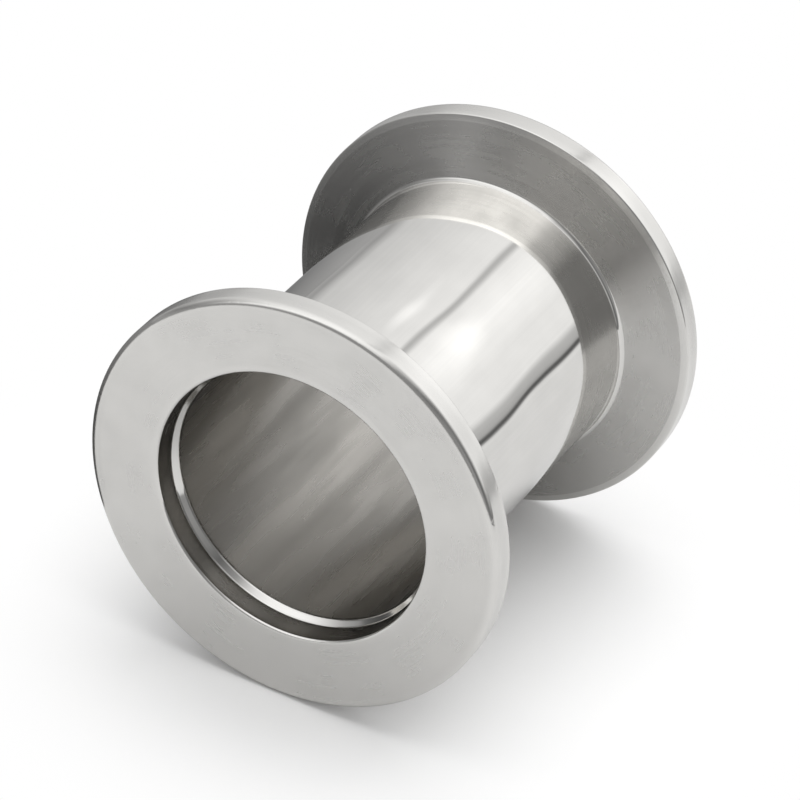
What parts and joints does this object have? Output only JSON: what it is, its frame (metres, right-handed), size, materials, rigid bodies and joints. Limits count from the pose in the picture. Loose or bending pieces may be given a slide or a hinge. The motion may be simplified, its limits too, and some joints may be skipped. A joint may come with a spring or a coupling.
{
  "type": "vacuum spool pipe",
  "caption": "Short straight vacuum spool: a polished steel tube with a flat clamp flange, tapered on its back, and a stepped ring seat at each end.",
  "frame": {"origin": "centre of the lower sealing face, which the spool stands on", "axes": "+Z along the tube's axis, from the lower flange to the upper one; X and Y are free, because the spool is round"},
  "size_m": [0.04, 0.04, 0.04],
  "materials": {
    "stainless_steel": "bare stainless steel: tube polished along its length, flanges fine turned, bore satin"
  },
  "bodies": {
    "root": {"spool_pipe": "stainless_steel"}
  },
  "joints": []
}
